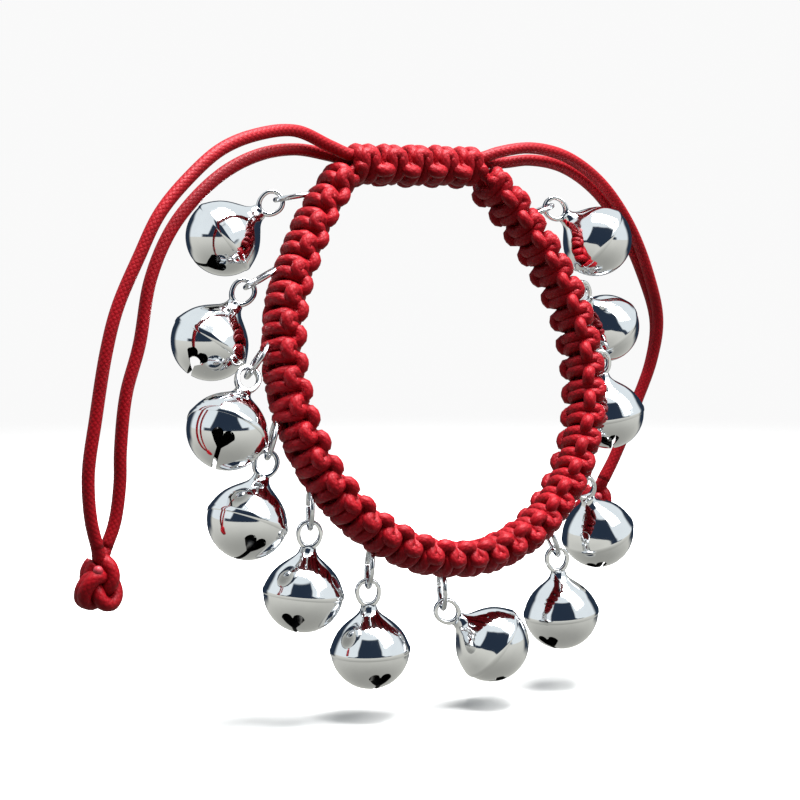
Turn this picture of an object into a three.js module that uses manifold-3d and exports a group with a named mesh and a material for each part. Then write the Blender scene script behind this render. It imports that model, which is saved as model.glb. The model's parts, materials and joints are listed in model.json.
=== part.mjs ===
// Bell bracelet: a knotted cord band closed by a sliding knot, with four tails and twelve bells on rings.
// Millimetres, +Z up, wrist along Y, origin at the middle of the loop, which leans back on the wrist.
import * as THREE from "three";
import { mergeVertices } from "three/addons/utils/BufferGeometryUtils.js";
import Module from "manifold-3d";

const wasm = await Module();
wasm.setup();

// Driving dimensions
const GAP = 0.3; // clearance between pieces that lie in or on each other
const FACET = 0.1; // extra room round a cord in a flat-sided bore
const OVERCUT = 1.5; // cutters run this far past what they cut
const CORD_D = 2.0; // tail cord
const CORE_D = 1.6; // core cord, pressed thin inside the knots
const KNOT_PITCH = 4.1; // one square knot along the band
const CLOSURE_SPAN = 30.2; // length of the loop left open for the sliding knot
const BAND_R = 30.25; // loop radius at the middle of the band's thickness
const OVAL = 1.1; // the loop is this much taller, and narrower, than a circle on each side
const SHOULDER = 5; // the loop rises towards the sliding knot
const LEAN = 14; // degrees that the loop's top leans back from upright
const BAND_W = 7.6; // across the wrist
const BAND_T = 5.9; // radial thickness
const KNOT_DIP = 0.5; // how far the band narrows between knots
const LANE = 1.1; // half the distance between two cords lying side by side
const CORE_SINK = 0.35; // core cords lie this far inside the band's middle
const CORE_INSET = 0.6; // core cords bend this far inside the band's ends
const CORE_SPLIT = 1; // core cords end this far from the sliding knot's middle
const SLIDER_L = 25.2;
const SLIDER_W = 7.4;
const SLIDER_T = 6.6;
const SLIDER_KNOTS = 5;
const SLIDER_SINK = 3.15; // sliding knot's middle under the top that the loop rises towards
const RING_R = 3.1; // jump ring, middle of the wire: 7 mm outside
const WIRE_D = 0.8;
const GRIP_DEPTH = 1.5; // ring wire under the band's outer face
const GRIP_Y = 2.2; // rings go through the band's rear half
const FACING = 25; // degrees that the rings' wires are turned from the wrist axis
const BELL_R = 6.3;
const WALL = 0.5;
const LIP_OUT = 0.1; // cap rim folded over the cup, outside the cup
const LIP_T = 0.35;
const LIP_RISE = 0.3; // folded rim above the bell's middle
const LIP_DROP = 0.6; // folded rim below the bell's middle
const RIM_T = 0.45; // cup rim inside the folded rim
const RIM_RISE = 0.4;
const RIM_DEPTH = 1.5;
const CAP_H = 7.7; // top of the neck above the bell's middle
const CAP_PULL = 2.7; // how far the cap keeps its width at the rim and at the neck
const CAP_INSIDE_H = 4.4; // inside crown above the bell's middle
const NECK_R = 1.3;
const EYE_SINK = 0.55; // eye set into the neck
const EYE_R = 2.05;
const EYE_HOLE_R = 1.4;
const EYE_T = 0.9;
const SLIT_W = 0.7;
const HOLE_W = 3.6; // round end of the slit
const HOLE_H = 2.3;
const HOLE_UP = 2.7; // middle of the hole above the cup's lowest point
const PEA_R = 1.5;
const PEA_CLEAR = 0.7; // pea inside the cup's round wall, flat sides and slit included
const PEA_TURN = 55; // furthest the pea rests from the bell's axis, degrees
const TAIL_IN = 3; // tails start this far inside the sliding knot
const END_KNOT_R = 3.4;
const END_KNOT_L = 8.6;
const END_KNOT_DROP = 0.55; // end knots under the tails' ends

// Bells, in degrees: grip from the top towards -X, turn about Z, tilts from straight down, slit's turn
const BELLS = [
  { at: 34, turn: 24, ring: -80, bell: -54, slit: 30 },
  { at: 59, turn: 11, ring: -60, bell: -35, slit: -15 },
  { at: 82, turn: -29, ring: -49, bell: -38, slit: -15 },
  { at: 102, turn: -15, ring: -20, bell: -25, slit: 20 },
  { at: 123, turn: 1, ring: -1, bell: -7, slit: -20 },
  { at: 148, turn: 8, ring: -5, bell: 2, slit: 10 },
  { at: 173, turn: 19, ring: 2, bell: 53, slit: -55 },
  { at: 216, turn: 0, ring: 23, bell: 6, slit: -45 },
  { at: 243, turn: -18, ring: 12, bell: 27, slit: -30 },
  { at: 278, turn: 2, ring: 49, bell: 12, slit: -30 },
  { at: 295, turn: -14, ring: 77, bell: 47, slit: 60 },
  { at: 317, turn: 19, ring: 113, bell: 54, slit: 75 },
];

const rad = THREE.MathUtils.degToRad;
const V = (x, y, z) => new THREE.Vector3(x, y, z);
const UP = V(0, 0, 1);
const group = new THREE.Group();
const loop = new THREE.Group();
loop.rotation.x = -rad(LEAN);
loop.updateMatrix();
group.add(loop);
const leaned = (point) => point.applyMatrix4(loop.matrix);

// Solids and meshes
function solidOf(geometry) {
  const plain = geometry.index ? geometry.toNonIndexed() : geometry.clone();
  const bare = new THREE.BufferGeometry().setAttribute("position", plain.getAttribute("position"));
  const merged = mergeVertices(bare, 1e-4);
  const vertProperties = merged.attributes.position.array;
  const triVerts = new Uint32Array(merged.index.array);
  const made = new wasm.Manifold(new wasm.Mesh({ numProp: 3, vertProperties, triVerts }));
  if (made.volume() > 0) return made;
  triVerts.reverse();
  return new wasm.Manifold(new wasm.Mesh({ numProp: 3, vertProperties, triVerts }));
}

function geometryOf(solid) {
  const m = solid.getMesh();
  const xyz = new Float32Array(m.numVert * 3);
  for (let i = 0; i < m.numVert; i++) {
    xyz.set(m.vertProperties.subarray(i * m.numProp, i * m.numProp + 3), i * 3);
  }
  const g = new THREE.BufferGeometry();
  g.setAttribute("position", new THREE.BufferAttribute(xyz, 3));
  g.setIndex(new THREE.BufferAttribute(new Uint32Array(m.triVerts), 1));
  g.computeVertexNormals();
  return g;
}

function addPiece(parent, name, geometry, colour, metalness, roughness) {
  const material = new THREE.MeshStandardMaterial({ color: colour, metalness, roughness });
  const mesh = new THREE.Mesh(geometry, material);
  mesh.name = name;
  parent.add(mesh);
  return mesh;
}

const RED = 0xa3121f;
const addCord = (parent, name, geometry) => addPiece(parent, name, geometry, RED, 0, 0.6);
const addMetal = (parent, name, geometry) => addPiece(parent, name, geometry, 0xd8dadd, 1, 0.12);

// A closed skin over rings of points, with a flat fan at each end
function skin(rings) {
  const n = rings[0].length;
  const points = rings.flat();
  const index = [];
  for (let i = 0; i + 1 < rings.length; i++) {
    for (let k = 0; k < n; k++) {
      const a = i * n + k;
      const b = i * n + ((k + 1) % n);
      index.push(a, b, a + n, b, b + n, a + n);
    }
  }
  for (const [i, flip] of [[0, false], [rings.length - 1, true]]) {
    const middle = rings[i].reduce((sum, p) => sum.add(p), V(0, 0, 0)).divideScalar(n);
    points.push(middle);
    for (let k = 0; k < n; k++) {
      const a = i * n + k;
      const b = i * n + ((k + 1) % n);
      index.push(points.length - 1, flip ? a : b, flip ? b : a);
    }
  }
  const g = new THREE.BufferGeometry().setFromPoints(points);
  g.setIndex(index);
  return g;
}

// A round cord along a path
function tube(path, radius, steps, sides = 8) {
  const section = new THREE.Shape();
  for (let k = 0; k < sides; k++) {
    const a = (2 * Math.PI * k) / sides;
    const p = [radius * Math.cos(a), radius * Math.sin(a)];
    if (k === 0) section.moveTo(...p);
    else section.lineTo(...p);
  }
  return new THREE.ExtrudeGeometry(section, { steps, extrudePath: path, bevelEnabled: false });
}

// Rounded section, half width by half thickness
function roundedSection(halfWidth, halfThick, count) {
  return Array.from({ length: count }, (_, k) => {
    const a = (2 * Math.PI * (k + 0.5)) / count;
    const squarer = (x) => Math.sign(x) * Math.abs(x) ** 0.62;
    return [halfWidth * squarer(Math.cos(a)), halfThick * squarer(Math.sin(a))];
  });
}

// A place in the loop's own frame: angle from the top towards -X, distance out from the band's middle, and Y
const onLoop = (angle, out, y) => {
  const fromTop = Math.PI - Math.abs(Math.PI - angle);
  const lift = fromTop < Math.PI / 3 ? SHOULDER * Math.cos(1.5 * fromTop) ** 2 : 0;
  const radius = BAND_R + lift + out;
  return V(-(radius - OVAL) * Math.sin(angle), y, (radius + OVAL) * Math.cos(angle));
};
const knots = Math.round((2 * Math.PI * BAND_R - CLOSURE_SPAN) / KNOT_PITCH);
const BAND_END = Math.PI - (knots * KNOT_PITCH) / BAND_R / 2;

// Jump rings: the frame of each ring has X towards its bell, Y along the wire, Z along the ring's axis
const facing = V(Math.sin(rad(FACING)), Math.cos(rad(FACING)), 0);
const hangs = BELLS.map((b) => {
  const tilted = (deg) => {
    const side = V(Math.cos(rad(b.turn)), -Math.sin(rad(b.turn)), 0);
    return side.multiplyScalar(Math.sin(rad(deg))).addScaledVector(UP, -Math.cos(rad(deg)));
  };
  const grip = leaned(onLoop(rad(b.at), BAND_T / 2 - GRIP_DEPTH, GRIP_Y));
  const out = tilted(b.ring);
  const wire = facing.clone().addScaledVector(out, -facing.dot(out)).normalize();
  const axis = out.clone().cross(wire);
  const frame = new THREE.Matrix4().makeBasis(out, wire, axis);
  frame.setPosition(grip.clone().addScaledVector(out, RING_R));
  const down = tilted(b.bell);
  const eye = wire.clone().addScaledVector(down, -wire.dot(down)).normalize();
  const top = down.clone().negate();
  const bell = new THREE.Matrix4().makeBasis(eye.clone().cross(top), eye, top);
  bell.setPosition(grip.clone().addScaledVector(out, 2 * RING_R));
  return { frame, bell };
});

// Knotted band: one narrow and one wide section per knot, bored for the cores, tunnelled for the rings
const bandRings = [];
for (let i = 0; i <= 2 * knots; i++) {
  const angle = BAND_END + ((i / 2) * KNOT_PITCH) / BAND_R;
  const dip = i % 2 ? 0 : KNOT_DIP;
  const section = roundedSection(BAND_W / 2 - dip, BAND_T / 2 - dip / 2, 10);
  bandRings.push(section.map(([v, h]) => onLoop(angle, h, v)));
}
class LoopArc extends THREE.Curve {
  constructor(from, to, out, y) {
    super();
    Object.assign(this, { from, to, out, y });
  }
  getPoint(t) {
    return onLoop(this.from + (this.to - this.from) * t, this.out, this.y);
  }
}
let band = solidOf(skin(bandRings));
for (const y of [-LANE, LANE]) {
  const boreStart = BAND_END - OVERCUT / BAND_R;
  const arc = new LoopArc(boreStart, 2 * Math.PI - boreStart, -CORE_SINK, y);
  band = band.subtract(solidOf(tube(arc, CORE_D / 2 + GAP + FACET, 30, 6)));
}
const upright = loop.matrix.clone().invert();
for (const { frame } of hangs) {
  const tunnel = new THREE.TorusGeometry(RING_R, WIRE_D / 2 + GAP, 6, 16);
  band = band.subtract(solidOf(tunnel.applyMatrix4(frame).applyMatrix4(upright)));
}
addCord(loop, "knotted_band", geometryOf(band));

// Core cords: through the band, both ends running into the sliding knot's lower half
const sliderZ = BAND_R + OVAL + SHOULDER - SLIDER_SINK;
const coreZ = sliderZ - LANE;
const coreStart = BAND_END + CORE_INSET / BAND_R;
for (const [name, y] of [["core_cord_front", -LANE], ["core_cord_rear", LANE]]) {
  const inSlider = [CORE_SPLIT, SLIDER_L / 4, SLIDER_L / 2];
  const points = inSlider.map((x) => V(-x, y, coreZ));
  const stops = 40;
  for (let i = 0; i <= stops; i++) {
    const angle = coreStart + ((2 * Math.PI - 2 * coreStart) * i) / stops;
    points.push(onLoop(angle, -CORE_SINK, y));
  }
  points.push(...inSlider.reverse().map((x) => V(x, y, coreZ)));
  const path = new THREE.CatmullRomCurve3(points, false, "centripetal");
  addCord(loop, name, tube(path, CORE_D / 2, 60));
}

// Sliding knot: a scalloped sleeve round the four cords
const sliderRings = [];
for (let i = 0; i <= 2 * SLIDER_KNOTS; i++) {
  const x = -SLIDER_L / 2 + (SLIDER_L * i) / (2 * SLIDER_KNOTS);
  const dip = i % 2 ? 0 : KNOT_DIP;
  const section = roundedSection(SLIDER_W / 2 - dip, SLIDER_T / 2 - dip / 2, 12);
  sliderRings.push(section.map(([v, h]) => V(x, v, sliderZ + h)));
}
const channelHalf = LANE + CORD_D / 2 + GAP;
const channel = new THREE.BoxGeometry(SLIDER_L + 2 * OVERCUT, 2 * channelHalf, 2 * channelHalf);
channel.translate(0, 0, sliderZ);
const slider = solidOf(skin(sliderRings)).subtract(solidOf(channel));
addCord(loop, "sliding_knot", geometryOf(slider));

// Tails: each pair leaves one end of the sliding knot's upper half, where its points count from
const tailZ = sliderZ + LANE;
const tailRoute = (side, y, offsets) => {
  const leave = V((side * SLIDER_L) / 2, y, tailZ);
  const inside = leave.clone().setX(leave.x - side * TAIL_IN);
  const points = [leaned(inside), leaned(leave), ...offsets.map((offset) => offset.add(leave))];
  return new THREE.CatmullRomCurve3(points, false, "centripetal");
};
const routes = {
  left_tail_front: tailRoute(-1, -LANE, [
    V(-3.8, 0, 1.3),
    V(-10.6, -1.2, 3.4),
    V(-18.1, -2.6, 2.6),
    V(-24.9, -3.8, 0.2),
    V(-30.8, -4.8, -4.1),
    V(-36.2, -5.6, -9.6),
    V(-39.8, -6, -15.9),
    V(-43.4, -6.2, -23.2),
    V(-45.3, -6.4, -29.4),
    V(-47.1, -6.4, -39),
    V(-48.4, -6.4, -47.2),
    V(-48.1, -6.4, -53.8),
    V(-47.1, -6.3, -58),
  ]),
  left_tail_rear: tailRoute(-1, LANE, [
    V(-2.7, 0.1, 0.5),
    V(-9, -0.9, 1.2),
    V(-16.1, -2.4, 0.3),
    V(-22.6, -3.4, -2.3),
    V(-28.5, -4.4, -6.5),
    V(-33.3, -5.2, -11.7),
    V(-37, -6, -18.8),
    V(-39.2, -6.6, -28.3),
    V(-41.5, -6.8, -35.5),
    V(-42.5, -6.8, -43.5),
    V(-42.7, -6.8, -48.8),
    V(-43.7, -7, -54.3),
    V(-45.2, -7.2, -57.8),
  ]),
  right_tail_front: tailRoute(1, -LANE, [
    V(3.7, -0.6, 1.1),
    V(9.7, -1, 1.9),
    V(17.1, -1, 0.7),
    V(25.6, 0, -3.5),
    V(33.5, 1.8, -10.4),
    V(40, 3.8, -19.4),
    V(44.2, 5.8, -28.2),
    V(44.6, 7.8, -35.6),
    V(42.1, 9.3, -43.9),
    V(38.3, 10.3, -53.1),
    V(36, 10.8, -57.6),
  ]),
  right_tail_rear: tailRoute(1, LANE, [
    V(5.3, -0.6, -0.1),
    V(11.5, -0.8, 0.5),
    V(18.5, -0.6, -0.5),
    V(26.4, 0.4, -4.3),
    V(33.7, 2, -10.6),
    V(40.4, 4, -18.9),
    V(45.5, 6, -28.1),
    V(46, 7.8, -35.6),
    V(43.5, 9.3, -44),
    V(39.6, 10.2, -53.2),
    V(37.3, 10.8, -57.4),
  ]),
};

for (const [name, path] of Object.entries(routes)) {
  addCord(group, name, tube(path, CORD_D / 2, 25));
}

// End knots: a barrel under the ends of each pair
function endKnot(side, along) {
  const ends = ["front", "rear"].map((place) => routes[`${side}_tail_${place}`].points.at(-1));
  const top = ends[0].clone().add(ends[1]).divideScalar(2);
  top.addScaledVector(along.normalize(), END_KNOT_DROP);
  const profile = [[0, 0], [0.6, 0], [0.98, 0.2], [1, 0.5], [0.98, 0.8], [0.6, 1], [0, 1]];
  const points = profile.map(([r, s]) => new THREE.Vector2(r * END_KNOT_R, s * END_KNOT_L));
  const barrel = new THREE.LatheGeometry(points, 12);
  const turn = new THREE.Quaternion().setFromUnitVectors(V(0, 1, 0), along);
  const knot = addCord(group, side + "_end_knot", geometryOf(solidOf(barrel)));
  knot.quaternion.copy(turn);
  knot.position.copy(top);
}
endKnot("left", V(-0.09, 0, -1));
endKnot("right", V(-0.4, 0.15, -1));

// Bell shells, made once about the bell's own middle with the eye along Y
const lathe = (points) => {
  const profile = points.map(([r, z]) => new THREE.Vector2(r, z));
  return solidOf(new THREE.LatheGeometry(profile, 10).rotateX(Math.PI / 2));
};
const lipR = BELL_R + LIP_OUT;
const rimIn = lipR - LIP_T;
const cupRim = rimIn - GAP;
const rimRoof = RIM_RISE + GAP;
const roomR = cupRim - RIM_T;
const pear = new THREE.CubicBezierCurve(
  new THREE.Vector2(lipR, LIP_RISE),
  new THREE.Vector2(lipR, LIP_RISE + CAP_PULL),
  new THREE.Vector2(NECK_R, CAP_H - CAP_PULL),
  new THREE.Vector2(NECK_R, CAP_H),
);
const crown = [0, 45, 90].map((deg) => {
  return [roomR * Math.sin(rad(deg)), rimRoof + (CAP_INSIDE_H - rimRoof) * Math.cos(rad(deg))];
});
const capShell = lathe([
  ...crown, [rimIn, rimRoof], [rimIn, -LIP_DROP], [lipR, -LIP_DROP],
  ...pear.getPoints(4).map((p) => [p.x, p.y]), [0, CAP_H],
]);
const eyeZ = CAP_H + EYE_R - EYE_SINK;
const washer = new THREE.Shape().absarc(0, 0, EYE_R, 0, 2 * Math.PI, false);
washer.holes.push(new THREE.Path().absarc(0, 0, EYE_HOLE_R, 0, 2 * Math.PI, true));
const eye = new THREE.ExtrudeGeometry(washer, { depth: EYE_T, bevelEnabled: false, curveSegments: 5 });
eye.rotateX(Math.PI / 2).translate(0, EYE_T / 2, eyeZ);
const bellCap = geometryOf(capShell.add(solidOf(eye)));

const arcPoints = (radius, fromDeg, toDeg, count) =>
  Array.from({ length: count }, (_, k) => {
    const a = rad(fromDeg + ((toDeg - fromDeg) * k) / (count - 1));
    return [radius * Math.sin(a), -radius * Math.cos(a)];
  });
const cupShell = lathe([
  ...arcPoints(BELL_R, 0, 81.5, 5), [cupRim, -LIP_DROP - GAP], [cupRim, RIM_RISE],
  [roomR, RIM_RISE], [roomR, -RIM_DEPTH],
  ...arcPoints(BELL_R - WALL, 68, 0, 4),
]);
const holeZ = HOLE_UP - BELL_R;
const slot = new THREE.Shape();
slot.moveTo(-SLIT_W / 2, -BELL_R - OVERCUT);
slot.lineTo(SLIT_W / 2, -BELL_R - OVERCUT);
slot.lineTo(SLIT_W / 2, holeZ - HOLE_H / 2);
slot.lineTo(HOLE_W / 2, holeZ);
slot.quadraticCurveTo(HOLE_W / 2, holeZ + HOLE_H / 2, HOLE_W / 4, holeZ + HOLE_H / 2);
slot.lineTo(0, holeZ + HOLE_H / 3);
slot.lineTo(-HOLE_W / 4, holeZ + HOLE_H / 2);
slot.quadraticCurveTo(-HOLE_W / 2, holeZ + HOLE_H / 2, -HOLE_W / 2, holeZ);
slot.lineTo(-SLIT_W / 2, holeZ - HOLE_H / 2);
const slotDepth = { depth: 4 * BELL_R, bevelEnabled: false, curveSegments: 1 };
const slotCut = new THREE.ExtrudeGeometry(slot, slotDepth);
slotCut.rotateX(Math.PI / 2).translate(0, 2 * BELL_R, 0);
const cupWithSlit = (turn) => geometryOf(cupShell.subtract(solidOf(slotCut.clone().rotateZ(turn))));

// Rings, bells and peas: a bell turns on its ring's far wire, its pea about the bell's middle
const peaOrbit = BELL_R - WALL - PEA_R - PEA_CLEAR;
const wireToMiddle = eyeZ + EYE_HOLE_R - WIRE_D / 2 - GAP;
hangs.forEach(({ frame, bell }, i) => {
  const number = String(i + 1).padStart(2, "0");
  const ringFrame = new THREE.Group();
  ringFrame.name = "ring_frame_" + number;
  ringFrame.applyMatrix4(frame);
  group.add(ringFrame);
  addMetal(ringFrame, "jump_ring_" + number, new THREE.TorusGeometry(RING_R, WIRE_D / 2, 6, 12));
  const bellFrame = new THREE.Group();
  bellFrame.name = "bell_frame_" + number;
  bellFrame.applyMatrix4(frame.clone().invert().multiply(bell));
  ringFrame.add(bellFrame);
  const middle = V(0, 0, -wireToMiddle);
  addMetal(bellFrame, "bell_cap_" + number, bellCap.clone()).position.copy(middle);
  const bellCup = cupWithSlit(rad(BELLS[i].slit));
  addMetal(bellFrame, "bell_cup_" + number, bellCup).position.copy(middle);
  const peaFrame = new THREE.Group();
  peaFrame.name = "pea_frame_" + number;
  peaFrame.position.copy(middle);
  const across = new THREE.Vector3().setFromMatrixColumn(bell, 0);
  const above = new THREE.Vector3().setFromMatrixColumn(bell, 2);
  const fall = THREE.MathUtils.radToDeg(Math.atan2(across.z, above.z));
  peaFrame.rotation.y = rad(THREE.MathUtils.clamp(fall, -PEA_TURN, PEA_TURN));
  bellFrame.add(peaFrame);
  const pea = addMetal(peaFrame, "bell_pea_" + number, new THREE.IcosahedronGeometry(PEA_R, 1));
  pea.position.z = -peaOrbit;
});

export default group;
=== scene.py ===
# Bell bracelet: a red knotted cord band with a sliding-knot closure, cord tails and twelve small bells.
import json
import math
import random

import bmesh
import bpy
from mathutils import Matrix, Vector


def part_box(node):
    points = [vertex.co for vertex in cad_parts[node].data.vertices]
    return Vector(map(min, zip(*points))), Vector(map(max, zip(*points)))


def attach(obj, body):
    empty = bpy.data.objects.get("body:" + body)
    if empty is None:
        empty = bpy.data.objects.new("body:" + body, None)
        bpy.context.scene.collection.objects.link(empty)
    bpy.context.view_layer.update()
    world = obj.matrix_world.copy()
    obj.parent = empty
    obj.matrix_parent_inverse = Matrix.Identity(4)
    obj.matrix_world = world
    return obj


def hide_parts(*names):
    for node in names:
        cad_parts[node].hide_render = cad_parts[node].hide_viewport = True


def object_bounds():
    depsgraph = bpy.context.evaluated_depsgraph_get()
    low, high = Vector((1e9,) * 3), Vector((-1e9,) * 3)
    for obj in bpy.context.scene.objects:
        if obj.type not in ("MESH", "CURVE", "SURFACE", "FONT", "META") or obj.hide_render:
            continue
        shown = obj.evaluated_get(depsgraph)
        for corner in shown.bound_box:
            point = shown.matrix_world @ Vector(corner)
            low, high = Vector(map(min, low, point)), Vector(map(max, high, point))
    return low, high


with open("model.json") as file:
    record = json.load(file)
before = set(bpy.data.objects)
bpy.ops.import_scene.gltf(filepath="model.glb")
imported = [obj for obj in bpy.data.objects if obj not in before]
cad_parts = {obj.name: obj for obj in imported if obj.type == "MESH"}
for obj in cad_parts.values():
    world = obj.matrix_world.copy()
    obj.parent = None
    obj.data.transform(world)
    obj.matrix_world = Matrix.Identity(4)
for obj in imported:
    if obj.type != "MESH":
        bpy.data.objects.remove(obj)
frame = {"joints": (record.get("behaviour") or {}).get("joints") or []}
cad_low, cad_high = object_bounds()
scene = bpy.context.scene

# Viewpoint: level with the bracelet and well to its left, through a portrait lens.
# The middle of the wrist loop stands a little right of and above the middle of the picture.
PICTURE_PX = 800
LOOP_MIDDLE_PX = (441, 365)
LENS_MM = 85.0
SENSOR_MM = 36.0
VIEW_AZIMUTH = math.radians(-33)
VIEW_ELEVATION = math.radians(5)
VIEW_DISTANCE = 0.304
NEAREST_SEEN = 0.01

towards_camera = Vector((
    math.sin(VIEW_AZIMUTH) * math.cos(VIEW_ELEVATION),
    -math.cos(VIEW_AZIMUTH) * math.cos(VIEW_ELEVATION),
    math.sin(VIEW_ELEVATION),
))
picture_right = Vector((math.cos(VIEW_AZIMUTH), math.sin(VIEW_AZIMUTH), 0))
picture_up = towards_camera.cross(picture_right)
metres_per_px = VIEW_DISTANCE * SENSOR_MM / LENS_MM / PICTURE_PX
loop_right = (LOOP_MIDDLE_PX[0] - PICTURE_PX / 2) * metres_per_px
loop_up = (PICTURE_PX / 2 - LOOP_MIDDLE_PX[1]) * metres_per_px

camera = bpy.data.objects.new("camera", bpy.data.cameras.new("camera"))
camera.data.lens = LENS_MM
camera.data.sensor_width = SENSOR_MM
camera.data.clip_start = NEAREST_SEEN
camera.location = towards_camera * VIEW_DISTANCE - picture_right * loop_right - picture_up * loop_up
camera.rotation_mode = "QUATERNION"
camera.rotation_quaternion = (-towards_camera).to_track_quat("-Z", "Y")
scene.collection.objects.link(camera)
scene.camera = camera
scene.view_settings.view_transform = "Standard"


# Studio: a pale floor that every swinging bell clears, fading out into a pale surround.
# An open sky lights it from above, with dark surroundings low down for the bright metal to reflect.
class Shade:
    """One output of a node, as a value that varies over a surface. Arithmetic on it adds Math nodes."""

    def __init__(self, tree, socket=None):
        self.tree = tree
        self.socket = socket

    def feed(self, socket, value):
        if isinstance(value, Shade):
            self.tree.links.new(value.socket, socket)
        else:
            socket.default_value = value

    def node(self, kind, settings=(), inputs=(), output=0):
        made = self.tree.nodes.new("ShaderNode" + kind)
        for name, value in dict(settings).items():
            setattr(made, name, value)
        for name, value in dict(inputs).items():
            self.feed(made.inputs[name], value)
        return Shade(self.tree, made.outputs[output])

    def math(self, operation, first, second=0.0):
        return self.node("Math", {"operation": operation}, {0: first, 1: second})

    def __add__(self, other):
        return self.math("ADD", self, other)

    def __radd__(self, other):
        return self.math("ADD", other, self)

    def __sub__(self, other):
        return self.math("SUBTRACT", self, other)

    def __rsub__(self, other):
        return self.math("SUBTRACT", other, self)

    def __mul__(self, other):
        return self.math("MULTIPLY", self, other)

    def __rmul__(self, other):
        return self.math("MULTIPLY", other, self)

    def __abs__(self):
        return self.math("ABSOLUTE", self)

    def sine(self):
        return self.math("SINE", self)

    def step(self, low, high):
        """0 below low and 1 above high, with a smooth rise between them."""
        ends = {"Value": self, "From Min": low, "From Max": high}
        return self.node("MapRange", {"interpolation_type": "SMOOTHSTEP"}, ends)

    def mix(self, below, above):
        """The colour below where this value is 0 and the colour above where it is 1."""
        return self.node("Mix", {"data_type": "RGBA"}, {0: self, 6: below, 7: above}, 2)

    def noise(self, scale, detail=2.0):
        """Cloudy values round a half, at this many lumps to the metre."""
        place = self.node("TexCoord", output="Object")
        return self.node("TexNoise", (), {"Vector": place, "Scale": scale, "Detail": detail})


def surface(name, fixed):
    """A new material: the material, its main shader with the fixed values set, and a Shade to build on."""
    made = bpy.data.materials.new(name)
    made.use_nodes = True
    shader = made.node_tree.nodes["Principled BSDF"]
    for socket, value in fixed.items():
        shader.inputs[socket].default_value = value
    return made, shader, Shade(made.node_tree)


def rgb(red, green, blue):
    return (red, green, blue, 1.0)


def new_object(name, data):
    made = bpy.data.objects.new(name, data)
    scene.collection.objects.link(made)
    return made


def finished_mesh(name, bm):
    mesh = bpy.data.meshes.new(name)
    bm.to_mesh(mesh)
    bm.free()
    return mesh


FLOOR_RADIUS = 0.5
FLOOR_SIDES = 96
FLOOR_FADE_FROM = 0.09
FLOOR_CLEARANCE = 0.0042
FLOOR_COLOUR = rgb(0.86, 0.86, 0.85)

floor_bm = bmesh.new()
bmesh.ops.create_circle(floor_bm, cap_ends=True, segments=FLOOR_SIDES, radius=FLOOR_RADIUS)
bmesh.ops.translate(floor_bm, verts=floor_bm.verts, vec=(0, 0, cad_low.z - FLOOR_CLEARANCE))
floor = new_object("floor", finished_mesh("floor", floor_bm))
floor_finish, floor_shader, floor_shade = surface(
    "pale floor", {"Base Color": FLOOR_COLOUR, "Roughness": 0.6})
from_middle = floor_shade.node(
    "VectorMath", {"operation": "LENGTH"},
    {0: floor_shade.node("TexCoord", output="Object")}, "Value")
floor_shade.feed(floor_shader.inputs["Alpha"], 1 - from_middle.step(FLOOR_FADE_FROM, FLOOR_RADIUS))
floor.data.materials.append(floor_finish)
floor.visible_glossy = False
floor.visible_diffuse = False

SURROUND = rgb(1.0, 1.0, 1.0)
SKY = rgb(0.90, 0.97, 1.0)
FAR_GROUND = rgb(0.78, 0.78, 0.72)
NEAR_GROUND = rgb(0.36, 0.36, 0.33)
DARK = rgb(0.022, 0.036, 0.062)
WORLD_STRENGTH = 0.95
SOFT_SHARE = 0.5

# Soft edges of the ground and of the dark screens round the studio, by how far a direction points up,
# ahead to the camera or aside
HORIZON = (-0.01, 0.01)
GROUND_FADE = (-1.1, 0.1)
LOW_SCREEN_AHEAD = (0.35, 0.5)
LOW_SCREEN_TOP = (0.10, 0.14)
TALL_SCREEN_AHEAD = (0.0, 0.1)
TALL_SCREEN_SIDES = (0.74, 0.80)
TALL_SCREEN_TAPER = 0.5
TALL_SCREEN_TOP = (0.76, 0.82)
REAR_SCREEN_BEHIND = (0.35, 0.6)
REAR_SCREEN_TOP = (0.35, 0.5)
REAR_SCREEN_FOOT = (-0.4, -0.2)

world = bpy.data.worlds.new("studio")
world.use_nodes = True
scene.world = world
world_shade = Shade(world.node_tree)
direction = world_shade.node("TexCoord", output="Generated")


def facing(way):
    """How nearly a direction in the surroundings points this way, from -1 to 1."""
    return world_shade.node("VectorMath", {"operation": "DOT_PRODUCT"}, {0: direction, 1: way}, "Value")


front = Vector((towards_camera.x, towards_camera.y, 0)).normalized()
height = facing((0, 0, 1))
ahead = facing(front)
aside = abs(facing(picture_right))
above_ground = height.step(*HORIZON)
low_screen = ahead.step(*LOW_SCREEN_AHEAD) * (1 - height.step(*LOW_SCREEN_TOP))
within_sides = 1 - (aside + height * TALL_SCREEN_TAPER).step(*TALL_SCREEN_SIDES)
tall_screen = ahead.step(*TALL_SCREEN_AHEAD) * within_sides * (1 - height.step(*TALL_SCREEN_TOP))
under_rear_top = 1 - height.step(*REAR_SCREEN_TOP)
rear_screen = (-1 * ahead).step(*REAR_SCREEN_BEHIND) * under_rear_top * height.step(*REAR_SCREEN_FOOT)
front_screens = world_shade.math("MAXIMUM", low_screen, tall_screen) * above_ground
darkness = world_shade.math("MAXIMUM", front_screens, rear_screen)
ground = height.step(*GROUND_FADE).mix(NEAR_GROUND, FAR_GROUND)
reflected = darkness.mix(above_ground.mix(ground, SKY), DARK)
seen_directly = world_shade.node("LightPath", output="Is Camera Ray")
background = world.node_tree.nodes["Background"]
world_shade.feed(background.inputs["Color"], seen_directly.mix(reflected, SURROUND))
softly = world_shade.node("LightPath", output="Is Diffuse Ray")
world_shade.feed(background.inputs["Strength"], (1 - softly * SOFT_SHARE) * WORLD_STRENGTH)


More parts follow.
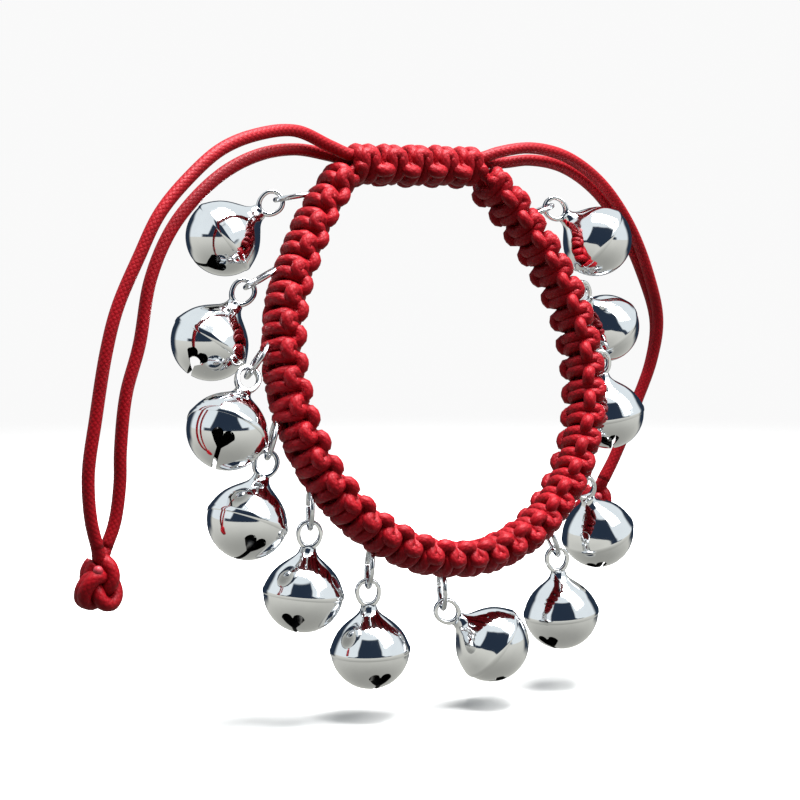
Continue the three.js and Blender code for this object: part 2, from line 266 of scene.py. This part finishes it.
def softbox(name, place, size, power):
    """A square lamp that shines at the middle of the wrist loop."""
    lamp = bpy.data.lights.new(name, "AREA")
    lamp.size = size
    lamp.energy = power
    made = bpy.data.objects.new(name, lamp)
    made.location = place
    made.rotation_mode = "QUATERNION"
    made.rotation_quaternion = (-Vector(place)).to_track_quat("-Z", "Y")
    scene.collection.objects.link(made)


softbox("key_light", (0.04, -0.05, 0.58), 0.35, 14.0)
softbox("fill_light", (0.25, -0.35, 0.45), 0.40, 3.5)


# Knotted band: a chain of square knots in two braided nylon cords, tied over two core cords.
# One working cord crosses the outside at every half knot and the other the inside,
# and each hooks round the other at both edges, which gives the two rows of bumps seen from the side.
KNOTS = 39
KNOT_PITCH = 0.0042
LOOP_RADIUS = 0.03025
OVAL = 0.0011
SHOULDER = 0.005
SHOULDER_REACH = math.radians(60)
LEAN = math.radians(14)
CORD_RADIUS = 0.00103
CORD_ROUNDNESS = 3
BAND_WIDTH = 0.0076
BAND_THICK = 0.0059
KNOT_STEP = 0.00045
FINE_STEPS = 4
LEAST_LENGTH = 1e-7
HALF_KNOTS_APART = 0.37
LOOP_SHARE = 0.1
BRAID_REPEAT = 0.0009
BRAID_STRANDS = 7
UNEVEN = 0.00012
BAND_SEED = 3
CORD_DARK = rgb(0.085, 0.0005, 0.0017)
CORD_BRIGHT = rgb(0.41, 0.0034, 0.010)
CORD_GLOSS = rgb(1.0, 0.40, 0.46)
CORD_FLUFF = rgb(1.0, 0.35, 0.42)
DYE_LUMPS = 260
FUZZ_LUMPS = 5200
# Shares of the cord's tone: painted shade in the braid's grooves, then dye and fuzz lumps that vary the red
# at random
GROOVE_SHADE_TONE = 0.18
DYE_TONE = 0.5
FUZZ_TONE = 0.35
TONE_DROP = 0.03
BRAID_RELIEF = 0.00012

# Half a knot of each working cord: along in pitches, across in half widths, outwards in half thicknesses
OUTSIDE_BAR = (
    (-0.14, -1.08, -0.80),
    (-0.13, -0.70, -0.25),
    (-0.07, -0.84, 0.40),
    (-0.02, -0.50, 0.86),
    (0.00, 0.00, 1.00),
    (0.02, 0.50, 0.86),
    (0.07, 0.84, 0.40),
    (0.13, 0.70, -0.25),
    (0.14, 1.08, -0.80),
)
INSIDE_BAR = (
    (-0.10, 1.08, 0.32),
    (-0.10, 1.00, -0.12),
    (-0.03, 0.50, -0.86),
    (0.00, 0.00, -1.00),
    (0.03, -0.50, -0.86),
    (0.10, -1.00, -0.12),
    (0.10, -1.08, 0.32),
)
lean = Matrix.Rotation(-LEAN, 3, "X")


def on_loop(angle, out, across):
    """A place on the wrist loop: angle from the top, distance out from the band's middle, and across it."""
    from_top = math.pi - abs(math.pi - angle)
    fall = min(from_top / SHOULDER_REACH, 1)
    lift = SHOULDER * math.cos(math.pi / 2 * fall) ** 2
    radius = LOOP_RADIUS + lift + out
    return lean @ Vector((-(radius - OVAL) * math.sin(angle), across, (radius + OVAL) * math.cos(angle)))


def smooth_line(points, spacing):
    """Places at even spacing on a smooth curve through the points."""
    points = [Vector(p) for p in points]
    points = [2 * points[0] - points[1], *points, 2 * points[-1] - points[-2]]
    fine = []
    for a, b, c, d in zip(points, points[1:], points[2:], points[3:]):
        before, span, after = (max((q - p).length, LEAST_LENGTH) ** 0.5 for p, q in ((a, b), (b, c), (c, d)))
        leave = ((b - a) / before - (c - a) / (before + span) + (c - b) / span) * span
        arrive = ((c - b) / span - (d - b) / (span + after) + (d - c) / after) * span
        steps = max(2, math.ceil(FINE_STEPS * (c - b).length / spacing))
        for t in (k / steps for k in range(steps)):
            cubic = 2 * b - 2 * c + leave + arrive
            square = 3 * c - 3 * b - 2 * leave - arrive
            fine.append(b + leave * t + square * t ** 2 + cubic * t ** 3)
    fine.append(points[-2])
    reach = [0.0]
    for p, q in zip(fine, fine[1:]):
        reach.append(reach[-1] + (q - p).length)
    count = max(2, round(reach[-1] / spacing))
    line, k = [], 0
    for n in range(count + 1):
        wanted = reach[-1] * n / count
        while k < len(fine) - 2 and reach[k + 1] < wanted:
            k += 1
        share = (wanted - reach[k]) / max(reach[k + 1] - reach[k], LEAST_LENGTH)
        line.append(fine[k].lerp(fine[k + 1], min(share, 1)))
    return line


def line_length(line):
    return sum((q - p).length for p, q in zip(line, line[1:]))


def add_tube(bm, line, radius, narrow):
    """Adds a round cord with a UV map that counts braid repeats along it, its first points narrowed."""
    curve = bpy.data.curves.new("cord", "CURVE")
    curve.dimensions = "3D"
    curve.bevel_depth = radius
    curve.bevel_resolution = CORD_ROUNDNESS
    curve.use_fill_caps = True
    spline = curve.splines.new("POLY")
    spline.points.add(len(line) - 1)
    for point, place in zip(spline.points, line):
        point.co = (*place, 1)
    for point, share in zip(spline.points, narrow):
        point.radius = share
    carrier = new_object("cord", curve)
    bpy.context.view_layer.update()
    mesh = bpy.data.meshes.new_from_object(carrier.evaluated_get(bpy.context.evaluated_depsgraph_get()))
    repeats = round(line_length(line) / BRAID_REPEAT)
    for corner in mesh.uv_layers["UVMap"].data:
        corner.uv.x *= repeats
    bm.from_mesh(mesh)
    bpy.data.objects.remove(carrier)
    bpy.data.curves.remove(curve)
    bpy.data.meshes.remove(mesh)


def smooth_piece(name, bm, finish):
    mesh = finished_mesh(name, bm)
    mesh.shade_smooth()
    mesh.materials.append(finish)
    return new_object(name, mesh)


def cord_piece(name, lines, radius, finish, narrow=()):
    """One piece of round cords along the lines. Each cord starts with the narrow shares of its radius."""
    bm = bmesh.new()
    for line in lines:
        add_tube(bm, line, radius, narrow)
    bmesh.ops.remove_doubles(bm, verts=bm.verts, dist=LEAST_LENGTH)
    return smooth_piece(name, bm, finish)


def square_knots(count, pitch, width, thick, place, seed):
    """The lines of the two working cords of a chain of square knots, in the space that place describes."""
    uneven = random.Random(seed)
    lines = []
    for bar in (OUTSIDE_BAR, INSIDE_BAR):
        points = []
        for half in range(2 * count):
            side = 1 if half % 2 == 0 else -1
            centre = half // 2 + 0.5 - side * HALF_KNOTS_APART / 2
            for along, across, out in bar:
                to_loop = along * (LOOP_SHARE if along * side > 0 else 1)
                where = [
                    (centre + to_loop) * pitch,
                    side * across * (width / 2 - CORD_RADIUS),
                    out * (thick / 2 - CORD_RADIUS),
                ]
                points.append(place(*(x + uneven.uniform(-UNEVEN, UNEVEN) for x in where)))
        lines.append(smooth_line(points, KNOT_STEP))
    return lines


cord_finish, cord_shader, cord_shade = surface("braided red nylon", {
    "Specular IOR Level": 0.3,
    "Specular Tint": CORD_GLOSS,
    "Sheen Weight": 0.03,
    "Sheen Roughness": 0.35,
    "Sheen Tint": CORD_FLUFF,
})
along_cord = cord_shade.node("SeparateXYZ", (), {0: cord_shade.node("TexCoord", output="UV")})
round_cord = Shade(cord_shade.tree, along_cord.socket.node.outputs["Y"]) * BRAID_STRANDS
right_lay = abs(((along_cord + round_cord) * math.pi).sine())
left_lay = abs(((along_cord - round_cord) * math.pi).sine())
strand = right_lay * left_lay
dye = cord_shade.noise(DYE_LUMPS, 3)
fuzz = cord_shade.noise(FUZZ_LUMPS, 2)
# The red is darker in the grooves between the braid's strands, which is painted shade, and varies at random
# with the dye and fuzz lumps.
cord_tone = strand * GROOVE_SHADE_TONE + dye * DYE_TONE + fuzz * FUZZ_TONE - TONE_DROP
cord_shade.feed(cord_shader.inputs["Base Color"], cord_tone.mix(CORD_DARK, CORD_BRIGHT))
cord_shade.feed(cord_shader.inputs["Roughness"], 0.34 + fuzz * 0.3)
cord_shade.feed(cord_shader.inputs["Normal"], cord_shade.node(
    "Bump", (), {"Strength": 0.35, "Distance": BRAID_RELIEF, "Height": strand + fuzz * 0.6}))

band_turn = KNOTS * KNOT_PITCH / LOOP_RADIUS
band_start = math.pi - band_turn / 2


def in_band(along, across, out):
    return on_loop(band_start + along / LOOP_RADIUS, out, across)


band = cord_piece(
    "band_working_cords",
    square_knots(KNOTS, KNOT_PITCH, BAND_WIDTH, BAND_THICK, in_band, BAND_SEED),
    CORD_RADIUS, cord_finish)
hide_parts("knotted_band")
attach(band, "bracelet")

# Core cords: two cords of the same nylon, pressed thin inside the band's knots.
# Both ends of each run on into the lower half of the sliding knot.
CORE_RADIUS = 0.0008
CORE_SINK = 0.00035
LANE = 0.0011
SLIDER_LENGTH = 0.0252
SLIDER_HEIGHT = 0.0332
CORE_STOPS = 40
CORE_OVERLAP = 0.001
CORE_STEP = 0.0018

core_height = SLIDER_HEIGHT - LANE
for name, lane in (("front", -LANE), ("rear", LANE)):
    into_knot = [
        lean @ Vector((x, lane, core_height))
        for x in (-CORE_OVERLAP, -SLIDER_LENGTH / 4, -SLIDER_LENGTH / 2)]
    round_wrist = [
        on_loop(band_start + band_turn * stop / CORE_STOPS, -CORE_SINK, lane)
        for stop in range(CORE_STOPS + 1)]
    out_of_knot = [Vector((-p.x, p.y, p.z)) for p in reversed(into_knot)]
    core_line = smooth_line(into_knot + round_wrist + out_of_knot, CORE_STEP)
    core = cord_piece("core_" + name, [core_line], CORE_RADIUS, cord_finish)
    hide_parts("core_cord_" + name)
    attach(core, "bracelet")

# Sliding knot: five looser square knots in the same cord, tied round the crossing cores and tails.
# It grips them by friction and slides along them to set the size.
SLIDER_KNOTS = 5
SLIDER_WIDTH = 0.0074
SLIDER_THICK = 0.0066
SLIDER_SEED = 5


def in_slider(along, across, out):
    return lean @ Vector((along - SLIDER_LENGTH / 2, across, SLIDER_HEIGHT + out))


slider = cord_piece(
    "slider_working_cords",
    square_knots(
        SLIDER_KNOTS, SLIDER_LENGTH / SLIDER_KNOTS, SLIDER_WIDTH, SLIDER_THICK, in_slider, SLIDER_SEED),
    CORD_RADIUS, cord_finish)
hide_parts("sliding_knot")
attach(slider, "bracelet")

# Tails: the cords' free ends, two from each end of the sliding knot's upper half.
# They arch up and out under their own stiffness and hang down to a knot that ties each pair.
TAIL_IN = 0.003
TAIL_RADIUS = 0.001
TAIL_STEP = 0.0008

tail_height = SLIDER_HEIGHT + LANE
# Steps from where each tail leaves the sliding knot
tail_routes = {
    "left_tail_front": (-1, -LANE, (
        (-0.0038, 0.0000, 0.0013),
        (-0.0106, -0.0012, 0.0034),
        (-0.0181, -0.0026, 0.0026),
        (-0.0249, -0.0038, 0.0002),
        (-0.0308, -0.0048, -0.0041),
        (-0.0362, -0.0056, -0.0096),
        (-0.0398, -0.0060, -0.0159),
        (-0.0434, -0.0062, -0.0232),
        (-0.0453, -0.0064, -0.0294),
        (-0.0471, -0.0064, -0.0390),
        (-0.0484, -0.0064, -0.0472),
        (-0.0481, -0.0064, -0.0538),
        (-0.0471, -0.0063, -0.0580),
    )),
    "left_tail_rear": (-1, LANE, (
        (-0.0027, 0.0001, 0.0005),
        (-0.0090, -0.0009, 0.0012),
        (-0.0161, -0.0024, 0.0003),
        (-0.0226, -0.0034, -0.0023),
        (-0.0285, -0.0044, -0.0065),
        (-0.0333, -0.0052, -0.0117),
        (-0.0370, -0.0060, -0.0188),
        (-0.0392, -0.0066, -0.0283),
        (-0.0415, -0.0068, -0.0355),
        (-0.0425, -0.0068, -0.0435),
        (-0.0427, -0.0068, -0.0488),
        (-0.0437, -0.0070, -0.0543),
        (-0.0452, -0.0072, -0.0578),
    )),
    "right_tail_front": (1, -LANE, (
        (0.0037, -0.0006, 0.0011),
        (0.0097, -0.0010, 0.0019),
        (0.0171, -0.0010, 0.0007),
        (0.0256, 0.0000, -0.0035),
        (0.0335, 0.0018, -0.0104),
        (0.0400, 0.0038, -0.0194),
        (0.0442, 0.0058, -0.0282),
        (0.0446, 0.0078, -0.0356),
        (0.0421, 0.0093, -0.0439),
        (0.0383, 0.0103, -0.0531),
        (0.0360, 0.0108, -0.0576),
    )),
    "right_tail_rear": (1, LANE, (
        (0.0053, -0.0006, -0.0001),
        (0.0115, -0.0008, 0.0005),
        (0.0185, -0.0006, -0.0005),
        (0.0264, 0.0004, -0.0043),
        (0.0337, 0.0020, -0.0106),
        (0.0404, 0.0040, -0.0189),
        (0.0455, 0.0060, -0.0281),
        (0.0460, 0.0078, -0.0356),
        (0.0435, 0.0093, -0.0440),
        (0.0396, 0.0102, -0.0532),
        (0.0373, 0.0108, -0.0574),
    )),
}
tails = {}
for name, (side, lane, route) in tail_routes.items():
    leave = lean @ Vector((side * SLIDER_LENGTH / 2, lane, tail_height))
    inside = leave - Vector((side * TAIL_IN, 0, 0))
    tail_line = smooth_line([inside, leave, *(leave + Vector(step) for step in route)], TAIL_STEP)
    tail = cord_piece(name + "_cord", [tail_line], TAIL_RADIUS, cord_finish)
    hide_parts(name)
    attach(tail, "bracelet")
    tails[name] = (tail, tail_line)

# End knots: each pair of tails tied together in one tight overhand knot, narrow where the tails go in.
# The cut cord ends just show in its side, melted to a bead so that they can't fray.
KNOT_RING = 0.00175
KNOT_WEAVE = 0.00085
KNOT_SPLIT = 0.0006
KNOT_TALL = 1.35
KNOT_WIDE = 0.98
KNOT_FLARE = 0.12
KNOT_DEEP = 1.1
KNOT_CORD = 0.0011
KNOT_SINK = 0.0005
KNOT_STEPS = 60
# Shares of the knot's cord radius at its first points, which start inside the tail
KNOT_NECK = (0.80, 0.84, 0.88, 0.91, 0.94, 0.97)
# How far the two cords have drawn together, and how far below the tails' ends
KNOT_GATHER = ((0.3, 0.0007), (0.65, 0.0015))
BEAD_RADIUS = 0.00075
BEAD_FACES = Vector((-0.54, -0.84, 0))
BEAD_OUT = 0.0021
BEAD_DOWN = 0.62
BEAD_DARK = rgb(0.24, 0.008, 0.016)
BEAD_PALE = rgb(0.48, 0.04, 0.06)
BEAD_LUMPS = 1500

bead_finish, bead_shader, bead_shade = surface("melted red nylon", {"Specular IOR Level": 0.4})
bead_tone = bead_shade.noise(BEAD_LUMPS, 3)
bead_shade.feed(bead_shader.inputs["Base Color"], bead_tone.mix(BEAD_DARK, BEAD_PALE))
bead_shade.feed(bead_shader.inputs["Roughness"], 0.35 + bead_tone * 0.25)


def end_knot(side):
    """The two cords of one end knot, in the space of its CAD barrel, and the melted bead on it."""
    low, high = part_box(side + "_end_knot")
    pair = [tails[f"{side}_tail_{place}"][1] for place in ("front", "rear")]
    top = (pair[0][-1] + pair[1][-1]) / 2
    middle = (low + high) / 2
    down = (middle - top).normalized()
    half = (middle - top).length
    east = down.cross(Vector((0, 1, 0))).normalized()
    north = down.cross(east)
    lines = []
    for tail_line, split in zip(pair, (-KNOT_SPLIT, KNOT_SPLIT)):
        end = tail_line[-1]
        points = [tail_line[-2], end]
        points += [end.lerp(top, share) + down * drop for share, drop in KNOT_GATHER]
        for k in range(2, KNOT_STEPS - 1):
            turn = 2 * math.pi * k / KNOT_STEPS
            reach = KNOT_RING + KNOT_WEAVE * math.cos(3 * turn)
            sideways = reach * math.sin(2 * turn)
            drop = -KNOT_TALL * reach * math.cos(2 * turn)
            flare = KNOT_WIDE + KNOT_FLARE * drop / KNOT_RING
            over = KNOT_DEEP * KNOT_WEAVE * math.sin(3 * turn) + split
            points.append(middle + down * (drop + KNOT_SINK) + east * sideways * flare + north * over)
        lines.append(smooth_line(points, KNOT_STEP))
    knot = cord_piece(side + "_overhand_knot", lines, KNOT_CORD, cord_finish, KNOT_NECK)
    bm = bmesh.new()
    bmesh.ops.create_icosphere(bm, subdivisions=3, radius=BEAD_RADIUS)
    bmesh.ops.translate(bm, verts=bm.verts, vec=top + down * half * BEAD_DOWN + BEAD_FACES * BEAD_OUT)
    return knot, smooth_piece(side + "_melted_end", bm, bead_finish)


for side in ("left", "right"):
    knot, bead = end_knot(side)
    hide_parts(side + "_end_knot")
    for piece in (knot, bead):
        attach(piece, "bracelet")
    for place in ("front", "rear"):
        tail, tail_line = tails[f"{side}_tail_{place}"]
        line_length(tail_line)

# Jump rings: round bright wire bent to a circle, each through one knot's outer strands and one bell's eye.
# The wire's two ends butt together with a hairline gap.
RING_RADIUS = 0.0031
WIRE_RADIUS = 0.0004
WIRE_SIDES = 14
RING_STEPS = 72
RING_GAP = math.radians(3)
WIRE_DULL = rgb(0.52, 0.53, 0.55)
WIRE_BRIGHT = rgb(0.80, 0.81, 0.83)
WIRE_LUMPS = 900

joints = {j["name"]: j for j in frame["joints"]}
numbers = sorted(name.split("_")[1] for name in joints if name.startswith("ring_"))

wire_finish, wire_shader, wire_shade = surface("bright wire", {"Metallic": 1.0})
wire_marks = wire_shade.noise(WIRE_LUMPS, 4)
wire_shade.feed(wire_shader.inputs["Base Color"], wire_marks.mix(WIRE_DULL, WIRE_BRIGHT))
wire_shade.feed(wire_shader.inputs["Roughness"], 0.10 + wire_marks * 0.16)

for number in numbers:
    swing = joints[f"ring_{number}_swing"]
    axis = Vector(swing["axis"]).normalized()
    to_bell = Vector(joints[f"bell_{number}_sway"]["pos_m"]) - Vector(swing["pos_m"])
    across = axis.cross(to_bell).normalized()
    bm = bmesh.new()
    bmesh.ops.create_circle(bm, cap_ends=True, segments=WIRE_SIDES, radius=WIRE_RADIUS)
    bmesh.ops.rotate(bm, verts=bm.verts, matrix=Matrix.Rotation(math.pi / 2, 3, "X"))
    bmesh.ops.translate(bm, verts=bm.verts, vec=(RING_RADIUS, 0, 0))
    bmesh.ops.spin(bm, geom=bm.faces[:], axis=(0, 0, 1), cent=(0, 0, 0),
                   angle=2 * math.pi - RING_GAP, steps=RING_STEPS, use_duplicate=False)
    bmesh.ops.recalc_face_normals(bm, faces=bm.faces)
    turned = Matrix((across, axis.cross(across), axis)).transposed().to_4x4()
    bm.transform(Matrix.Translation(Vector(swing["pos_m"])) @ turned)
    ring = smooth_piece("ring_wire_" + number, bm, wire_finish)
    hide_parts("jump_ring_" + number)
    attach(ring, "ring_" + number)

# Bells: a pear-shaped cap and a round cup pressed from thin sheet and plated bright, the cap's rim folded
# over the cup's. The cap carries a strip eye, and a slit between two heart-shaped holes opens the cup.
BELL_RADIUS = 0.0062
BELL_SEGMENTS = 72
SHELL_MERGE = 1e-6
PROFILE_STEP = 0.0003
WALL = 0.0005
SHARP_EDGE = math.radians(38)

# The cap's outside and inside, by radius and height from the bell's middle
CAP_TOP = 0.0071
CAP_FLAT = 0.0008
CAP_SIDE = (
    (0.00125, 0.0069),
    (0.0014, 0.0063),
    (0.0019, 0.0056),
    (0.0029, 0.0048),
    (0.0040, 0.0039),
    (0.0050, 0.0028),
    (0.0057, 0.0016),
)
CAP_STEPS = 26
LINING_START = 0.0006
CAP_LINING = ((0.0046, 0.0028), (0.0024, 0.0044), (0.0, 0.0050))
LINING_STEPS = 12
INSIDE_TOP = 0.0052

# The cap's folded rim and the cup's rim inside it
LIP_OUT = 0.00012
LIP_DROP = 0.0006
FOLD_TOP = 0.0003
FOLD_SHOULDER = 0.00008
FOLD_EDGE = 0.0001
FOLD_FOOT = 0.00035
FOLD_THICK = 0.00037
CUP_PLAY = 0.0002
CUP_UP = 0.0002
CUP_RIM = 0.0004
CUP_OUTSIDE_TURN = 84.5
CUP_OUTSIDE_STEPS = 30
CUP_INSIDE_TURN = 84
CUP_INSIDE_STEPS = 20

EYE_HEIGHT = 0.0092
EYE_RADIUS = 0.00205
EYE_HOLE = 0.0014
EYE_WIDTH = 0.0011
EYE_ROUND = 0.00022
EYE_DRAWN = 1.3
EYE_STEPS = 40

# The slit and its holes, and the turn of each bell's slit about the bell's own axis, in degrees
SLIT = 0.0007
SLIT_BELOW = 0.001
SLIT_TURNS = (30, -15, -15, 20, -20, 10, -55, -45, -30, -30, 60, 75)
HOLE_WIDTH = 0.0036
HOLE_HEIGHT = 0.0023
HOLE_DROP = 0.0036
HEART_POINT = 0.62
HEART_CHEEK = (0.30, 0.36)
LOBE_FLAT = 0.9
LOBE_TURNS = range(0, 180, 15)

PLATE_DULL = rgb(0.76, 0.77, 0.79)
PLATE_BRIGHT = rgb(0.88, 0.89, 0.90)
HAZE_LUMPS = 350
RIPPLE_LUMPS = 170
PLATE_RELIEF = 0.0002
# Painted shade inside the bells: near-black metal, mottled at random, where little light gets into the
# closed shell
INSIDE_SHADE_DARK = rgb(0.02, 0.02, 0.02)
INSIDE_SHADE_PALE = rgb(0.07, 0.07, 0.065)
INSIDE_LUMPS = 800

plate_finish, plate_shader, plate_shade = surface("bright plate", {"Metallic": 1.0})
plate_haze = plate_shade.noise(HAZE_LUMPS, 4)
plate_ripple = plate_shade.noise(RIPPLE_LUMPS, 1)
plate_shade.feed(plate_shader.inputs["Base Color"], plate_haze.mix(PLATE_DULL, PLATE_BRIGHT))
plate_shade.feed(plate_shader.inputs["Roughness"], 0.03 + plate_haze * 0.07)
plate_shade.feed(plate_shader.inputs["Normal"], plate_shade.node(
    "Bump", (), {"Strength": 0.25, "Distance": PLATE_RELIEF, "Height": plate_ripple}))


def spun(profile, segments):
    """A bmesh turned from a profile of radius and height that starts and ends on the axis."""
    bm = bmesh.new()
    verts = [bm.verts.new((radius, 0, up)) for radius, up in profile]
    edges = [bm.edges.new(pair) for pair in zip(verts, verts[1:])]
    bmesh.ops.spin(bm, geom=verts + edges, axis=(0, 0, 1), cent=(0, 0, 0),
                   angle=2 * math.pi, steps=segments, use_merge=True)
    bmesh.ops.remove_doubles(bm, verts=bm.verts, dist=SHELL_MERGE)
    bmesh.ops.recalc_face_normals(bm, faces=bm.faces)
    return bm


def through(points, count):
    """A smooth profile through a few points of radius and height."""
    line = smooth_line([(radius, 0, up) for radius, up in points], PROFILE_STEP)
    chosen = [line[round(k * (len(line) - 1) / count)] for k in range(count + 1)]
    return [(place.x, place.z) for place in chosen]


def arc(radius, start, stop, count):
    """Part of a round profile, by angle from straight down."""
    turns = [math.radians(start + (stop - start) * k / count) for k in range(count + 1)]
    return [(radius * math.sin(t), -radius * math.cos(t)) for t in turns]


lip = BELL_RADIUS + LIP_OUT
lining = lip - FOLD_THICK
cap_outside = [(0, CAP_TOP), (CAP_FLAT, CAP_TOP)]
cap_outside += through([*CAP_SIDE, (lip - FOLD_SHOULDER, FOLD_TOP)], CAP_STEPS)
cap_rim = [
    (lip, FOLD_EDGE),
    (lip, 2 * FOLD_EDGE - LIP_DROP),
    (lip - FOLD_EDGE, -LIP_DROP),
    (lip - FOLD_FOOT, -LIP_DROP),
]
cap_inside = [(lining, FOLD_TOP)]
cap_inside += through([(lip - LINING_START, LINING_START), *CAP_LINING], LINING_STEPS)
cap_bm = spun(cap_outside + cap_rim + cap_inside, BELL_SEGMENTS)

eye_bm = bmesh.new()
eye_strip = [(EYE_HOLE, -EYE_WIDTH / 2), (EYE_RADIUS, -EYE_WIDTH / 2),
             (EYE_RADIUS, EYE_WIDTH / 2), (EYE_HOLE, EYE_WIDTH / 2)]
strip_face = eye_bm.faces.new([eye_bm.verts.new((radius, width, 0)) for radius, width in eye_strip])
bmesh.ops.bevel(eye_bm, geom=strip_face.verts[:], offset=EYE_ROUND, affect="VERTICES", segments=3,
                profile=0.5, material=-1)
bmesh.ops.spin(eye_bm, geom=eye_bm.faces[:] + eye_bm.edges[:] + eye_bm.verts[:],
               axis=(0, 1, 0), cent=(0, 0, 0), angle=2 * math.pi, steps=EYE_STEPS, use_merge=True)
bmesh.ops.remove_doubles(eye_bm, verts=eye_bm.verts, dist=SHELL_MERGE)
bmesh.ops.delete(eye_bm, geom=[f for f in eye_bm.faces if len(f.verts) > 4], context="FACES_ONLY")
bmesh.ops.recalc_face_normals(eye_bm, faces=eye_bm.faces)
for vert in eye_bm.verts:
    if vert.co.z < 0:
        vert.co.z *= EYE_DRAWN
bmesh.ops.translate(eye_bm, verts=eye_bm.verts, vec=(0, 0, EYE_HEIGHT))
eye_mesh = finished_mesh("eye", eye_bm)
cap_bm.from_mesh(eye_mesh)
bpy.data.meshes.remove(eye_mesh)
cap_mesh = finished_mesh("bell_cap", cap_bm)

cup_rim = lining - CUP_PLAY
cup_outside = arc(BELL_RADIUS, 0, CUP_OUTSIDE_TURN, CUP_OUTSIDE_STEPS)
cup_edge = [(cup_rim, -LIP_DROP - FOLD_EDGE), (cup_rim, CUP_UP), (cup_rim - CUP_RIM, CUP_UP)]
cup_inside = arc(BELL_RADIUS - WALL, CUP_INSIDE_TURN, 0, CUP_INSIDE_STEPS)
cup_mesh = finished_mesh("bell_cup", spun(cup_outside + cup_edge + cup_inside, BELL_SEGMENTS))

slot_bm = bmesh.new()
lobe = HOLE_WIDTH / 4
heart_top = [(lobe + lobe * math.cos(t), -HOLE_DROP + lobe * LOBE_FLAT * math.sin(t))
             for t in map(math.radians, LOBE_TURNS)]
right_half = [
    (SLIT / 2, -BELL_RADIUS - SLIT_BELOW),
    (SLIT / 2, -HOLE_DROP - HOLE_HEIGHT * HEART_POINT),
    (HOLE_WIDTH * HEART_CHEEK[0], -HOLE_DROP - HOLE_HEIGHT * HEART_CHEEK[1]),
    *heart_top,
]
outline = right_half + [(-x, z) for x, z in reversed(right_half)]
slot_face = slot_bm.faces.new([slot_bm.verts.new((x, -2 * BELL_RADIUS, z)) for x, z in outline])
swept = bmesh.ops.extrude_face_region(slot_bm, geom=[slot_face])["geom"]
bmesh.ops.translate(slot_bm, verts=[v for v in swept if isinstance(v, bmesh.types.BMVert)],
                    vec=(0, 4 * BELL_RADIUS, 0))
bmesh.ops.recalc_face_normals(slot_bm, faces=slot_bm.faces)
cutter = new_object("slot_cutter", finished_mesh("slot_cutter", slot_bm))
blank = new_object("cup_blank", cup_mesh)
cut = blank.modifiers.new("slot", "BOOLEAN")
cut.operation = "DIFFERENCE"
cut.solver = "EXACT"
cut.object = cutter
bpy.context.view_layer.update()
slotted_mesh = bpy.data.meshes.new_from_object(blank.evaluated_get(bpy.context.evaluated_depsgraph_get()))
for scrap in (blank, cutter):
    bpy.data.objects.remove(scrap)

inside_painted_shade, inside_shader, inside_shade = surface("painted shade inside", {"Metallic": 1.0})
inside_marks = inside_shade.noise(INSIDE_LUMPS, 3)
inside_shade.feed(inside_shader.inputs["Base Color"], inside_marks.mix(INSIDE_SHADE_DARK, INSIDE_SHADE_PALE))
inside_shade.feed(inside_shader.inputs["Roughness"], 0.5 + inside_marks * 0.2)

for shell in (cap_mesh, slotted_mesh):
    shell.materials.clear()
    shell.materials.append(plate_finish)
    shell.materials.append(inside_painted_shade)
    for face in shell.polygons:
        # Inner faces below the eye get the painted shade
        inner = face.normal.dot(face.center) < 0 and face.center.z < INSIDE_TOP
        face.material_index = 1 if inner else 0
    shell.shade_smooth()
    shell.set_sharp_from_angle(angle=SHARP_EDGE)

for number, slit_turn in zip(numbers, SLIT_TURNS):
    sway = joints[f"bell_{number}_sway"]
    middle = Vector(joints[f"pea_{number}_roll"]["pos_m"])
    top = (Vector(sway["pos_m"]) - middle).normalized()
    eye_axis = Vector(sway["axis"]).normalized()
    turned = Matrix((eye_axis.cross(top), eye_axis, top)).transposed().to_4x4()
    place = Matrix.Translation(middle) @ turned
    slit_place = place @ Matrix.Rotation(math.radians(slit_turn), 4, "Z")
    for kind, master, where in (("cap", cap_mesh, place), ("cup", slotted_mesh, slit_place)):
        mesh = master.copy()
        mesh.transform(where)
        shell = new_object(f"plated_{kind}_{number}", mesh)
        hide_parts(f"bell_{kind}_{number}")
        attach(shell, "bell_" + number)

# Peas: a loose dull steel ball in each bell, resting on the lowest part of the cup.
# It rolls and strikes the shell, which makes the sound.
PEA_RADIUS = 0.0015
PEA_DARK = rgb(0.30, 0.30, 0.31)
PEA_PALE = rgb(0.55, 0.56, 0.57)
PEA_LUMPS = 1200

pea_finish, pea_shader, pea_shade = surface("dull steel", {"Metallic": 1.0})
pea_marks = pea_shade.noise(PEA_LUMPS, 3)
pea_shade.feed(pea_shader.inputs["Base Color"], pea_marks.mix(PEA_DARK, PEA_PALE))
pea_shade.feed(pea_shader.inputs["Roughness"], 0.3 + pea_marks * 0.25)

for number in numbers:
    pea_low, pea_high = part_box("bell_pea_" + number)
    pea_bm = bmesh.new()
    bmesh.ops.create_icosphere(pea_bm, subdivisions=3, radius=PEA_RADIUS)
    bmesh.ops.translate(pea_bm, verts=pea_bm.verts, vec=(pea_low + pea_high) / 2)
    pea = smooth_piece("pea_" + number, pea_bm, pea_finish)
    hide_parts("bell_pea_" + number)
    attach(pea, "pea_" + number)
